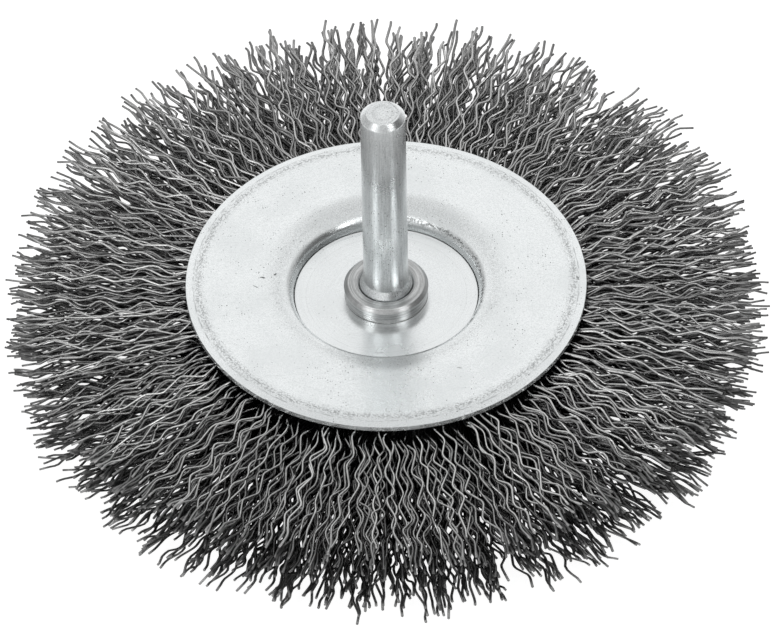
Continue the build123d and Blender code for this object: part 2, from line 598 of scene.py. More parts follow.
    @staticmethod
    def build_scuff() -> bpy.types.NodeTree:
        """Builds one short dark stroke on the front, ragged along its edge.

        Returns:
            The group, with the stroke as its mask.
        """
        front_height = 10.0
        raggedness, ragged_scale, edge_band = 1.6, 4.0, (1.35, 1.75)
        group = Group("scuff", {
            "East": 0.0, "North": 0.0, "Turn": 0.0, "Length": 1.0, "Width": 0.2,
        })
        given = group.given
        spot = group.combine(given["East"], given["North"])
        away = group.vectors("SUBTRACT", {0: given["Place"], 1: spot})[0]
        inputs = {"Vector": away, "Angle": given["Turn"]}
        turned = group.add("ShaderNodeVectorRotate", inputs, rotation_type="Z_AXIS").outputs[0]
        axes = group.parts(turned)
        along = group.maths("POWER", group.maths("DIVIDE", axes[0], given["Length"]), 2.0)
        across = group.maths("POWER", group.maths("DIVIDE", axes[1], given["Width"]), 2.0)
        reach = group.maths("SQRT", group.maths("ADD", along, across))
        rough_edge = group.noise(given["Place"], ragged_scale, roughness=0.7)
        ragged = group.maths("MULTIPLY_ADD", rough_edge, raggedness, reach)
        stroke = group.remap(ragged, *edge_band, 1.0, 0.0)
        group.give(group.times(stroke, group.maths("GREATER_THAN", axes[2], front_height)))
        return group.tree


# Finishes


@dataclass(frozen=True)
class WearAndShadeRing:
    """A dark ring, of wear or dirt on some pieces and of painted shade in a crease or gap on others:
    its radius and width in millimetres, and how it is broken up.
    """

    radius: float
    width: float
    strength: float
    waver: float = 0.1
    breakup: float = 0.5
    arc: float = 0.4
    side: float = 0.0

    def mask(self, wiring: Wiring, effects: Effects, place: Socket) -> Socket:
        """Wires up the ring.

        Args:
            wiring: The material's wiring.
            effects: The shared shader groups.
            place: The object coordinates, in millimetres.

        Returns:
            How strong the ring is at each place.
        """
        dark_ring = wiring.group(effects.wear_and_shade_ring, {
            "Place": place, "Radius": self.radius, "Width": self.width, "Waver": self.waver,
            "Breakup": self.breakup, "Arc": self.arc, "Side": self.side,
        })["Mask"]
        return wiring.times(dark_ring, self.strength)


@dataclass(frozen=True)
class Scuff:
    """A short dark stroke on the front plate: its place, turn and half sizes in millimetres."""

    east: float
    north: float
    turn: float
    length: float
    width: float
    strength: float = 0.9

    def mask(self, wiring: Wiring, effects: Effects, place: Socket) -> Socket:
        """Wires up the stroke.

        Args:
            wiring: The material's wiring.
            effects: The shared shader groups.
            place: The object coordinates, in millimetres.

        Returns:
            How strong the stroke is at each place.
        """
        stroke = wiring.group(effects.scuff, {
            "Place": place, "East": self.east, "North": self.north, "Turn": self.turn,
            "Length": self.length, "Width": self.width,
        })["Mask"]
        return wiring.times(stroke, self.strength)


@dataclass(frozen=True)
class MetalFinish:
    """A bright metal finish: its skin, grain and turning rings, with specks, scratches, wear and a
    little painted shade.
    """

    name: str
    base: Colour
    shade: Colour
    roughness: float
    mark: Colour = (0.13, 0.135, 0.135)
    roughness_spread: float = 0.1
    clouds: float = 0.12
    cloud_shade: float = 0.35
    flecks: float = 5.5
    fleck_shade: float = 1.0
    fleck_relief: float = 0.1
    turning_lines: float = 6.0
    turning_length: float = 2.0
    turning_height: float = 0.0
    turning_band: Range = (0.62, 0.36)
    turning_shade: float = 0.1
    turning_relief: float = 4.0
    grain_band: Range = (0.62, 0.34)
    grain_shade: float = 0.0
    grain_relief: float = 6.0
    speck_amount: float = 0.12
    speck_density: float = 3.0
    speck_strength: float = 0.8
    scratch_amount: float = 0.5
    scratch_strength: float = 0.35
    mark_roughness: float = 0.2
    mark_depth: float = 1.2
    bump: float = 0.02
    bump_strength: float = 0.6
    rings: tuple[WearAndShadeRing, ...] = ()
    scuffs: tuple[Scuff, ...] = ()

    def marks(self, wiring: Wiring, effects: Effects, place: Socket) -> Socket:
        """Wires up the specks, scratches, dark rings of wear and painted shade, and scuffs.

        Args:
            wiring: The material's wiring.
            effects: The shared shader groups.
            place: The object coordinates, in millimetres.

        Returns:
            How strong the strongest mark is at each place.
        """
        specks = wiring.group(effects.specks, {
            "Place": place, "Density": self.speck_density, "Amount": self.speck_amount,
        })["Mask"]
        scratches = wiring.group(effects.scratches, {
            "Place": place, "Amount": self.scratch_amount,
        })["Mask"]
        marks = wiring.maths(
            "MAXIMUM",
            wiring.times(specks, self.speck_strength),
            wiring.times(scratches, self.scratch_strength),
        )
        for mark in (*self.rings, *self.scuffs):
            marks = wiring.maths("MAXIMUM", marks, mark.mask(wiring, effects, place))
        return marks

    def build(self, effects: Effects) -> bpy.types.Material:
        """Builds the material.

        Args:
            effects: The shared shader groups.

        Returns:
            The material.
        """
        material, wiring, shader = new_material(self.name)
        place = wiring.millimetres()
        skin = wiring.group(effects.mottle, {
            "Place": place, "Clouds": self.clouds, "Flecks": self.flecks,
        })
        turning = wiring.group(effects.turning, {
            "Place": place, "Lines": self.turning_lines, "Length": self.turning_length,
            "Height Share": self.turning_height,
        })["Mask"]
        grain = wiring.group(effects.grain, {"Place": place})["Mask"]
        marks = self.marks(wiring, effects, place)

        cloud_share = wiring.times(skin["Cloud"], self.cloud_shade)
        colour = wiring.mix(cloud_share, rgba(self.base), rgba(self.shade))
        fleck_share = wiring.times(skin["Fleck"], self.fleck_shade)
        colour = wiring.mix(fleck_share, colour, rgba(self.shade))
        ring_share = wiring.remap(turning, *self.turning_band, 0.0, self.turning_shade)
        colour = wiring.mix(ring_share, colour, rgba(self.mark))
        streak_share = wiring.remap(grain, *self.grain_band, 0.0, self.grain_shade)
        colour = wiring.mix(streak_share, colour, rgba(self.mark))
        colour = wiring.mix(marks, colour, rgba(self.mark))
        wiring.join(colour, shader["Base Color"])

        rough = wiring.maths("MULTIPLY_ADD", skin["Cloud"], self.roughness_spread, self.roughness)
        rough = wiring.maths("MULTIPLY_ADD", marks, self.mark_roughness, rough)
        wiring.join(rough, shader["Roughness"])

        relief = wiring.times(skin["Fleck"], self.fleck_relief)
        turning_height = self.turning_shade * self.turning_relief
        relief = wiring.maths("MULTIPLY_ADD", turning, turning_height, relief)
        relief = wiring.maths("MULTIPLY_ADD", grain, self.grain_shade * self.grain_relief, relief)
        relief = wiring.maths("MULTIPLY_ADD", marks, -self.mark_depth, relief)
        inputs = {"Strength": self.bump_strength, "Distance": self.bump * MM, "Height": relief}
        wiring.join(wiring.add("ShaderNodeBump", inputs).outputs["Normal"], shader["Normal"])
        shader["Metallic"].default_value = 1.0
        return material


@dataclass(frozen=True)
class WireFinish:
    """Drawn steel wire: each wire has its own tone, darkened as painted shade deep in the pack, and
    the tips are duller.
    """

    name: str = "crimped steel wire"
    bright: Colour = (0.66, 0.66, 0.655)
    dull: Colour = (0.095, 0.095, 0.095)
    tip: Colour = (0.17, 0.17, 0.17)
    roughness: float = 0.06
    stain_roughness: float = 0.2
    tip_roughness: float = 0.6
    tip_band: Range = (44.0, 51.0)
    tip_share: float = 0.5
    tone_and_shade_share: float = 0.7
    tone_band: Range = (0.2, 0.95)
    stain_share: float = 0.5
    stain_scale: float = 1.4
    grain_scale: float = 9.0
    grain_strength: float = 0.25
    grain_depth: float = 0.02

    def build(self) -> bpy.types.Material:
        """Builds the material, which reads each wire's own tone and painted depth shade from its
        attribute.

        Returns:
            The material.
        """
        material, wiring, shader = new_material(self.name)
        tone = wiring.add("ShaderNodeAttribute", attribute_name="wire_tone_and_shade").outputs["Fac"]
        place = wiring.millimetres()
        radius = wiring.polar(place)[0]
        stain = wiring.noise(place, self.stain_scale, detail=4.0, roughness=0.65)
        # The wire's tone carries painted shade on the wires deep in the pack
        weighted_tone_and_shade = wiring.times(tone, self.tone_and_shade_share)
        share = wiring.maths("MULTIPLY_ADD", stain, self.stain_share, weighted_tone_and_shade)
        share = wiring.remap(share, *self.tone_band)
        colour = wiring.mix(share, rgba(self.dull), rgba(self.bright))
        tip = wiring.remap(radius, *self.tip_band, 0.0, self.tip_share)
        wiring.join(wiring.mix(tip, colour, rgba(self.tip)), shader["Base Color"])
        rough = wiring.maths("MULTIPLY_ADD", stain, self.stain_roughness, self.roughness)
        rough = wiring.maths("MULTIPLY_ADD", tip, self.tip_roughness, rough)
        wiring.join(rough, shader["Roughness"])
        inputs = {
            "Strength": self.grain_strength, "Distance": self.grain_depth * MM,
            "Height": wiring.noise(place, self.grain_scale),
        }
        wiring.join(wiring.add("ShaderNodeBump", inputs).outputs["Normal"], shader["Normal"])
        shader["Metallic"].default_value = 1.0
        return material


PLATE_ZINC = MetalFinish(
    "zinc plated sheet", base=(0.90, 0.925, 0.93), shade=(0.73, 0.76, 0.765), roughness=0.2,
    fleck_shade=0.8, turning_shade=0.02, speck_amount=0.4, scratch_amount=0.4,
    rings=(
        # The ring at the lip of the well is a dark speckled line, weaker on the left: partly cracked
        # zinc, partly painted shade in the crease
        WearAndShadeRing(12.95, 0.4, 0.95, waver=0.5, breakup=0.85, arc=0.3, side=0.6),
        WearAndShadeRing(14.6, 2.6, 0.25, waver=0.8, breakup=1.15, arc=0.12),
        WearAndShadeRing(25.1, 1.0, 0.6, waver=0.8, breakup=1.15, arc=0.15),
        WearAndShadeRing(25.8, 0.14, 0.6, waver=0.2, breakup=1.0, arc=0.8),
        WearAndShadeRing(26.98, 0.3, 0.85, waver=0.1, breakup=0.35, arc=1.2),
    ),
    scuffs=(
        Scuff(-16.4, 1.1, turn=0.1, length=0.5, width=0.16),
        Scuff(-14.8, 2.0, turn=-0.9, length=0.35, width=0.16),
        Scuff(-17.4, -0.6, turn=0.6, length=0.6, width=0.12, strength=0.6),
        Scuff(25.6, 0.0, turn=1.2, length=0.5, width=0.2, strength=0.7),
        Scuff(-16.2, -21.3, turn=0.7, length=0.5, width=0.18, strength=0.7),
        Scuff(9.5, -16.4, turn=0.2, length=0.45, width=0.1, strength=0.6),
    ),
)
DISC_ZINC = MetalFinish(
    "zinc plated disc", base=(0.86, 0.885, 0.89), shade=(0.77, 0.795, 0.80), roughness=0.2,
    turning_shade=0.03, speck_amount=0.15, scratch_amount=0.3,
    rings=(
        WearAndShadeRing(10.75, 0.1, 0.12, breakup=0.4, arc=1.5),
        # The ring at the disc's edge is painted shade: a thin dark line where the disc meets the
        # plate's wall
        WearAndShadeRing(12.2, 0.1, 0.2, breakup=0.3, arc=1.0),
    ),
)
COLLAR_STEEL = MetalFinish(
    "turned collar steel", base=(0.64, 0.65, 0.65), shade=(0.52, 0.53, 0.53), roughness=0.27,
    turning_lines=4.5, turning_length=1.2, turning_shade=0.5, turning_height=1.0,
    rings=(
        WearAndShadeRing(3.95, 0.1, 0.35, waver=0.05, breakup=0.2, arc=2.0),
        WearAndShadeRing(4.85, 0.08, 0.5, waver=0.05, breakup=0.3, arc=2.0),
        WearAndShadeRing(5.3, 0.06, 0.4, waver=0.05, breakup=0.4, arc=1.0),
    ),
)
SHANK_STEEL = MetalFinish(
    "ground shank steel", base=(0.96, 0.98, 0.985), shade=(0.71, 0.74, 0.745), roughness=0.25,
    mark=(0.12, 0.12, 0.12), turning_shade=0.03, grain_shade=0.26,
    speck_amount=0.6, speck_density=3.4, scratch_amount=0.1, bump=0.012,
    rings=(
        WearAndShadeRing(2.0, 0.14, 0.6, waver=0.3, breakup=0.9, arc=0.4, side=0.5),
        WearAndShadeRing(1.3, 0.5, 0.4, waver=0.4, breakup=1.2, arc=0.3),
    ),
)
CORE_STEEL = MetalFinish(
    "core steel", base=(0.34, 0.34, 0.33), shade=(0.26, 0.26, 0.26), roughness=0.4,
    mark=(0.08, 0.08, 0.08),
)


# The brush


@dataclass
class Hub:
    """The plates, washers, collar and shank on the wheel's axis. Sizes are in millimetres."""

    mid_height: float = MID_HEIGHT
    bore_radius: float = 3.58
    plate_floor: float = 11.2
    plate_top: float = 14.64
    plate_thickness: float = 0.8
    plate_edge: float = 0.14
    well_floor_radius: float = 12.16
    well_floor_bend: float = 0.35
    well_radius: float = 12.64
    lip_height: float = 13.52
    lip_bend: float = 1.7
    shoulder_radius: float = 16.2
    shoulder_bend: float = 6.0
    roll_radius: float = 25.0
    roll_bend: float = 8.0
    rim_radius: float = RIM_RADIUS
    rim_height: float = 14.22
    washer_radius: float = 12.24
    washer_top: float = 12.2
    washer_foot_bend: float = 0.5
    washer_edge: float = 0.12
    washer_bore_edge: float = 0.1
    collar_radius: float = 5.65
    collar_top: float = 14.44
    collar_chamfer: float = 0.5
    collar_bore_chamfer: float = 0.25
    collar_edge: float = 0.1
    collar_foot_edge: float = 0.06
    collar_bore_edge: float = 0.05
    foot_radius: float = 3.53
    foot_cone: float = 1.0
    cone_bend: float = 0.3
    shank_radius: float = 3.0
    shank_end: float = 46.34
    shank_chamfer: float = 0.75
    shank_edge: float = 0.12
    shank_shoulder_edge: float = 0.15
    centre_radius: float = 0.6
    rivet_radius: float = 4.9
    rivet_bend: float = 0.9
    rivet_face: float = 1.04
    rivet_seat: float = 2.44
    segments: int = 256
    small_segments: int = 128

    def build_plates(self, material: bpy.types.Material) -> None:
        """Presses the front plate from its section and turns a copy over for the rear.

        Args:
            material: The plates' zinc.
        """
        face = [
            Corner(self.bore_radius, self.plate_floor),
            Corner(self.well_floor_radius, self.plate_floor, self.well_floor_bend),
            Corner(self.well_radius, self.lip_height, self.lip_bend),
            Corner(self.shoulder_radius, self.plate_top, self.shoulder_bend),
            Corner(self.roll_radius, self.plate_top, self.roll_bend),
            Corner(self.rim_radius, self.rim_height),
        ]
        section = sheet_section(face, self.plate_thickness, self.plate_edge)
        front = lathe("front_plate_sheet", rounded(section, steps=10), self.segments)
        rear = rear_copy(front, "rear_plate_sheet", self.mid_height)
        place_piece(front, Slot.PLATE, material, "front_plate")
        place_piece(rear, Slot.PLATE, material, "rear_plate")

    def build_washers(self, material: bpy.types.Material) -> None:
        """Turns the hub washer with its broken edges, and its copy for the rear.

        Args:
            material: The washers' zinc.
        """
        section = [
            Corner(self.bore_radius, self.plate_floor),
            Corner(self.washer_radius, self.plate_floor, self.washer_foot_bend),
            Corner(self.washer_radius, self.washer_top, self.washer_edge),
            Corner(self.bore_radius, self.washer_top, self.washer_bore_edge),
        ]
        front = lathe("front_hub_disc", rounded(section), self.segments)
        rear = rear_copy(front, "rear_hub_disc", self.mid_height)
        place_piece(front, Slot.WASHER, material, "front_hub_washer")
        place_piece(rear, Slot.WASHER, material, "rear_hub_washer")

    def build_collar(self, material: bpy.types.Material) -> None:
        """Turns the collar with its top chamfer and the small chamfer of its bore.

        Args:
            material: The collar's steel.
        """
        chamfer_foot = self.collar_top - self.collar_chamfer
        bore_mouth = self.bore_radius + self.collar_bore_chamfer
        bore_foot = self.collar_top - self.collar_bore_chamfer
        section = [
            Corner(self.bore_radius, self.washer_top),
            Corner(self.collar_radius, self.washer_top, self.collar_foot_edge),
            Corner(self.collar_radius, chamfer_foot, self.collar_edge),
            Corner(self.collar_radius - self.collar_chamfer, self.collar_top, self.collar_edge),
            Corner(bore_mouth, self.collar_top, self.collar_bore_edge),
            Corner(self.bore_radius, bore_foot, self.collar_bore_edge),
        ]
        collar = lathe("collar_ring", rounded(section, steps=4), self.small_segments)
        place_piece(collar, Slot.COLLAR, material, "collar")

    def build_shank(self, material: bpy.types.Material) -> None:
        """Turns the shank with its riveted head, foot, cone and chamfered end.

        Args:
            material: The shank's steel.
        """
        end_foot = self.shank_end - self.shank_chamfer
        section = [
            Corner(self.centre_radius, self.rivet_face),
            Corner(self.rivet_radius, self.rivet_face, self.rivet_bend),
            Corner(self.rivet_radius, self.rivet_seat),
            Corner(self.foot_radius, self.rivet_seat),
            Corner(self.foot_radius, self.collar_top, self.shank_edge),
            Corner(self.shank_radius, self.collar_top + self.foot_cone, self.cone_bend),
            Corner(self.shank_radius, end_foot, self.shank_shoulder_edge),
            Corner(self.shank_radius - self.shank_chamfer, self.shank_end, self.shank_edge),
            Corner(self.centre_radius, self.shank_end),
        ]
        shank = lathe("shank_pin", rounded(section, steps=5), self.small_segments, closed=False)
        place_piece(shank, Slot.SHANK, material, "shank")


@dataclass(frozen=True)
class Spread:
    """A range that values are drawn from evenly."""

    low: float
    high: float

    def draw(self, rng: np.random.Generator, size: int | tuple[int, ...]) -> np.ndarray:
        """Draws values from the range."""
        return rng.uniform(self.low, self.high, size)


@dataclass(frozen=True)
class Tufts:
    """The tufts that the wire tips gather in: one value of each kind for each tuft."""

    angle: np.ndarray
    deep: np.ndarray
    tip: np.ndarray
    lean: np.ndarray


@dataclass(frozen=True)
class WireLayout:
    """The root, tuft, tip and crimp of every wire: one value for each wire, bundle by bundle."""

    angle: np.ndarray
    deep: np.ndarray
    angle_pull: np.ndarray
    deep_pull: np.ndarray
    pull: np.ndarray
    deep_share: np.ndarray
    lean: np.ndarray
    tip: np.ndarray
    phase: np.ndarray
    wave: np.ndarray
    height: np.ndarray
    corner: np.ndarray
    plane: np.ndarray
    twist: np.ndarray
    bow: np.ndarray
    bow_phase: np.ndarray
    tone: np.ndarray


def wrapped(angle: np.ndarray) -> np.ndarray:
    """Angles brought between half a turn back and half a turn on."""
    return np.angle(np.exp(1j * angle))


def ramp(value: np.ndarray, start: float, end: float, top: float = 1.0) -> np.ndarray:
    """A straight rise from 0 at the start to 1 at the end, cut off at 0 and at the top."""
    return np.clip((value - start) / (end - start), 0, top)


@dataclass
class WireRing:
    """The ring of crimped wires, in bundles looped round the core. Sizes are in millimetres."""

    seed: int = 20411
    bundles: int = 36

    # Roots, and the mouth between the plates
    rows_round: int = 8
    rows_deep: int = 8
    mid_height: float = MID_HEIGHT
    root_radius: float = 23.0
    mouth_radius: float = RIM_RADIUS
    mouth_half: float = 5.95
    mouth_margin: float = 0.1
    splay: Range = (27.0, 35.0)
    splay_height: float = 0.6
    root_jitter: Spread = Spread(-0.48, 0.48)

    # One wire and its crimp
    wire_diameter: float = 0.335
    facet_swell: float = 1.11
    wave: float = 5.75
    nested_wave: Spread = Spread(0.97, 1.03)
    loose_wave: Spread = Spread(0.9, 1.1)
    crimp_height: float = 0.64
    height_spread: Spread = Spread(0.7, 1.2)
    corner_reach: Spread = Spread(0.3, 0.8)
    corner_jitter: Spread = Spread(-0.12, 0.12)
    swing_spread: Spread = Spread(0.5, 1.3)
    root_crimp: Range = (24.0, 27.0)
    root_crimp_least: float = 0.25
    tip_crimp: Range = (42.0, 49.0)
    tip_crimp_loss: float = 0.45
    root_clearance: float = 0.3
    tip_clearance: float = 0.25

    # Tufts
    tufts_round: int = 4
    tufts_deep: int = 3
    tuft_start: float = 33.0
    tuft_turn: Spread = Spread(-0.4, 0.4)
    tuft_stagger: Spread = Spread(-0.2, 0.2)
    tuft_depth: Spread = Spread(-0.36, 0.36)
    tuft_lean: float = 1.3
    tuft_tip_spread: float = 1.0
    tuft_tip_range: Range = (48.0, 51.5)
    pull: Spread = Spread(0.3, 0.85)
    deep_share: Spread = Spread(0.1, 0.6)

    # Tips
    tip_half: float = 6.1
    tip_radius: float = 50.9
    tip_limit: float = 51.3
    limit_spread: Spread = Spread(0, 0.3)
    tip_rise: float = 0.6
    tip_overrun: float = 1.1
    shortening: float = 1.4
    outer_shortening: float = 0.4
    rear_fullness: float = 0.45

    # Wires that nest in each other, loose ones and strays
    nested_share: float = 0.38
    nested_drift: float = 0.5
    nested_phase: float = 0.1
    nested_plane: float = 0.35
    loose_plane: float = 0.75
    lean: float = 1.0
    stray_share: float = 0.1
    stray_reach: Spread = Spread(0.6, 2.0)
    stray_pull: float = 0.05
    stray_lean: float = 2.0
    twist: float = 0.25
    bow: float = 0.7
    bow_turn: float = 4.2
    # Painted shade deep in the pack: how dark the middlemost wires are, then every wire's random
    # spread of tone
    inner_painted_shade: float = 0.14
    tone_spread: Spread = Spread(0.45, 1.05)

    # The loop round the core
    loop_mouth: Point = (24.3, 5.9)
    loop_shoulder: Point = (17.2, 6.2)
    loop_end: Point = (13.7, 4.4)
    loop_slope: float = 0.08
    slit_half: float = 0.05
    core_radius: float = 16.5
    core_clearance: float = 1.65

    @property
    def per_bundle(self) -> int:
        """The number of wires in a bundle."""
        return self.rows_round * self.rows_deep

    def lay_tufts(self, rng: np.random.Generator) -> Tufts:
        """Places the tufts that the wire tips gather in.

        Args:
            rng: The source of random draws.

        Returns:
            The tufts, column by column round the wheel.
        """
        columns = self.bundles * self.tufts_round
        angle, deep = np.meshgrid(np.arange(columns), np.arange(self.tufts_deep), indexing="ij")
        angle = angle + self.tuft_turn.draw(rng, (columns, 1))
        angle = angle + self.tuft_stagger.draw(rng, deep.shape)
        angle = (angle * 2 * math.pi / columns - math.pi / self.bundles).ravel()
        deep = (deep + 0.5 + self.tuft_depth.draw(rng, deep.shape)) / self.tufts_deep * 2 - 1
        tip = rng.normal(self.tip_radius, self.tuft_tip_spread, angle.size)
        lean = rng.normal(0.0, self.tuft_lean, angle.size) / self.tip_radius
        return Tufts(angle, deep.ravel(), np.clip(tip, *self.tuft_tip_range), lean)

    def lay_out(self) -> WireLayout:
        """Places every wire's root, tuft, tip and crimp.

        Returns:
            The layout of all the wires.
        """
        rng = np.random.default_rng(self.seed)
        count = self.bundles * self.per_bundle
        bundle = np.repeat(np.arange(self.bundles), self.per_bundle)
        column = np.tile(np.repeat(np.arange(self.rows_round), self.rows_deep), self.bundles)
        row = np.tile(np.arange(self.rows_deep), self.bundles * self.rows_round)
        across = (column + 0.5 + self.root_jitter.draw(rng, count)) / self.rows_round - 0.5
        deep = (row + 0.5 + self.root_jitter.draw(rng, count)) / self.rows_deep * 2 - 1
        angle = (bundle + across) * (2 * math.pi / self.bundles)

        tufts = self.lay_tufts(rng)
        gap = wrapped(angle[:, None] - tufts.angle[None, :]) * self.tip_radius
        rise = (deep[:, None] - tufts.deep[None, :]) * self.tip_half
        own = np.argmin(np.hypot(gap, rise), axis=1)
        picked = np.arange(count)
        off_centre = np.hypot(gap[picked, own], rise[picked, own])
        stray = rng.random(count) < self.stray_share
        fuller = 1.0 - self.rear_fullness * np.clip(np.sin(angle), 0.0, 1.0)
        shorter = rng.exponential(self.shortening, count) + self.outer_shortening * off_centre
        tip = tufts.tip[own] - shorter * fuller + stray * self.stray_reach.draw(rng, count)

        nested = rng.random(count) < self.nested_share
        tuft_column = own // self.tufts_deep
        columns = self.bundles * self.tufts_round
        column_phase = np.cumsum(rng.normal(0, self.nested_drift, columns))[tuft_column]
        nested_phase = column_phase + rng.normal(0, self.nested_phase, count)
        phase = np.where(nested, nested_phase, rng.random(count)) % 1.0
        nested_wave = self.nested_wave.draw(rng, columns)[tuft_column]
        wave = np.where(nested, nested_wave, self.loose_wave.draw(rng, count)) * self.wave
        nested_plane = rng.normal(0, self.nested_plane, tufts.angle.size)[own]
        plane = np.where(nested, nested_plane, rng.normal(0, self.loose_plane, count))
        lean_reach = np.where(stray, self.stray_lean, 1.0)
        # Painted shade: the wires in the middle layers of the pack, where little light reaches, are
        # darker
        painted_depth_shade = self.inner_painted_shade + (1.0 - self.inner_painted_shade) * deep**2
        return WireLayout(
            angle=angle,
            deep=deep,
            angle_pull=wrapped(tufts.angle[own] - angle),
            deep_pull=tufts.deep[own] - deep,
            pull=np.where(stray, self.stray_pull, self.pull.draw(rng, count)),
            deep_share=self.deep_share.draw(rng, count),
            lean=tufts.lean[own] + rng.normal(0, self.lean, count) * lean_reach / self.tip_radius,
            tip=np.minimum(tip, self.tip_limit - self.limit_spread.draw(rng, count)),
            phase=phase,
            wave=wave,
            height=self.crimp_height * self.height_spread.draw(rng, count),
            corner=self.corner_reach.draw(rng, count),
            plane=plane,
            twist=rng.normal(0, self.twist, count),
            bow=rng.normal(0, self.bow, (count, 2)),
            bow_phase=rng.uniform(0, 2 * math.pi, (count, 2)),
            tone=painted_depth_shade * self.tone_spread.draw(rng, count),
        )

    def crimp(self, wires: WireLayout, number: int) -> tuple[np.ndarray, np.ndarray]:
        """Sets out the crimp of one wire, with three stations to a bend.

        Args:
            wires: The layout of every wire.
            number: The wire's number.

        Returns:
            The stations along the wire from its root, and how far it swings aside at each.
        """
        rng = np.random.default_rng((self.seed, number))
        half = wires.wave[number] / 2
        length = wires.tip[number] - self.root_radius
        steps = np.arange(0, int(length / half) + 2) - wires.phase[number]
        corners = (steps + self.corner_jitter.draw(rng, steps.size)) * half
        swing = np.where(np.arange(corners.size) % 2, 1.0, -1.0)
        swing = swing * self.swing_spread.draw(rng, corners.size)
        corner = wires.corner[number]
        stations = np.column_stack([corners - corner, corners, corners + corner]).ravel()
        crest = 2.0 * corner / (3.0 * (half - 2.0 * corner))
        shape = np.array([1.0, 1.0 + crest, 1.0])
        swings = (swing[:, None] * shape).ravel() * wires.height[number] * (1.0 - corner / half)
        inside = (stations > self.root_clearance) & (stations < length - self.tip_clearance)
        first_swing, last_swing = np.interp([0.0, length], stations, swings)
        return (
            np.concatenate([[0.0], stations[inside], [length]]),
            np.concatenate([[first_swing], swings[inside], [last_swing]]),
        )

    def wire_path(self, wires: WireLayout, number: int) -> np.ndarray:
        """The centre line of one wire.

        Args:
            wires: The layout of every wire.
            number: The wire's number.

        Returns:
            Its points, in metres.
        """
        stations, swings = self.crimp(wires, number)
        radius = self.root_radius + stations
        share = ramp(radius, self.mouth_radius, self.tip_radius, self.tip_overrun)
        gather = ramp(radius, self.tuft_start, self.tip_radius, self.tip_overrun)
        gather = gather * gather * (3 - 2 * np.minimum(gather, 1.0)) * wires.pull[number]
        bow = np.sin(share[:, None] * self.bow_turn + wires.bow_phase[number])
        bow = bow * wires.bow[number] * share[:, None]
        angle = wires.angle[number] + wires.angle_pull[number] * gather
        angle = angle + wires.lean[number] * gather + bow[:, 0] / radius
        half_height = self.mouth_half + (self.tip_half - self.mouth_half) * share
        deep_gather = wires.deep_pull[number] * gather * wires.deep_share[number]
        height = (wires.deep[number] + deep_gather) * half_height + bow[:, 1]
        tilt = wires.plane[number] + wires.twist[number] * share
        fade = np.maximum(ramp(radius, *self.root_crimp), self.root_crimp_least)
        fade = fade * (1.0 - self.tip_crimp_loss * ramp(radius, *self.tip_crimp))
        sideways = swings * np.cos(tilt) * fade
        height = height + swings * np.sin(tilt) * fade
        limit = self.mouth_half + self.mouth_margin + self.splay_height * ramp(radius, *self.splay)
        height = np.clip(height, -limit, limit) + self.mid_height + self.tip_rise * share**2
        x = radius * np.cos(angle) - sideways * np.sin(angle)
        y = radius * np.sin(angle) + sideways * np.cos(angle)
        return np.column_stack([x, y, height]) * MM

    def build_wires(self, wires: WireLayout, bundle: int) -> bpy.types.Object:
        """Draws one bundle's wires as four-sided curves and makes them a mesh.

        Args:
            wires: The layout of every wire.
            bundle: The bundle's number, from 0.

        Returns:
            The mesh of the wires, with each wire's tone and painted depth shade as an attribute.
        """
        numbers = range(bundle * self.per_bundle, (bundle + 1) * self.per_bundle)
        curve = bpy.data.curves.new(f"crimped_wires_{bundle + 1:02d}", "CURVE")
        curve.dimensions = "3D"
        curve.bevel_depth = self.wire_diameter / 2 * self.facet_swell * MM
        curve.bevel_resolution = 0
        sizes: list[int] = []
        for number in numbers:
            path = self.wire_path(wires, number)
            spline = curve.splines.new("POLY")
            spline.points.add(len(path) - 1)
            spline.points.foreach_set("co", np.column_stack([path, np.ones(len(path))]).ravel())
            sizes.append(len(path))
        obj = bpy.data.objects.new(curve.name, curve)
        bpy.context.scene.collection.objects.link(obj)
        make_active(obj)
        bpy.ops.object.convert(target="MESH")
        obj = bpy.context.object
        around = len(obj.data.vertices) // sum(sizes)
        shaded_tones = np.repeat(wires.tone[numbers.start:numbers.stop], np.array(sizes) * around)
        tone = obj.data.attributes.new("wire_tone_and_shade", "FLOAT", "POINT")
        tone.data.foreach_set("value", shaded_tones.astype(np.float32))
        obj.data.polygons.foreach_set("use_smooth", [True] * len(obj.data.polygons))
        edit_all()
        bpy.ops.mesh.fill_holes(sides=4)
        close_outwards()
        return obj

    def loop_outline(self) -> list[Point]:
        """The side view of a bundle's loop, slit from its mouth to the hollow for the core.

        Returns:
            The radius and the height over the wheel's middle of each point.
        """
        core_outer = self.core_radius + self.core_clearance
        core_inner = self.core_radius - self.core_clearance
        outside = [
            (self.loop_mouth[0], self.slit_half),
            self.loop_mouth,
            self.loop_shoulder,
            self.loop_end,
        ]
        hollow = [
            (core_inner, self.core_clearance),
            (core_outer, self.core_clearance),
            (core_outer, self.slit_half),
        ]
        below = [(radius, -height) for radius, height in reversed(hollow + outside)]
        return outside + below + hollow

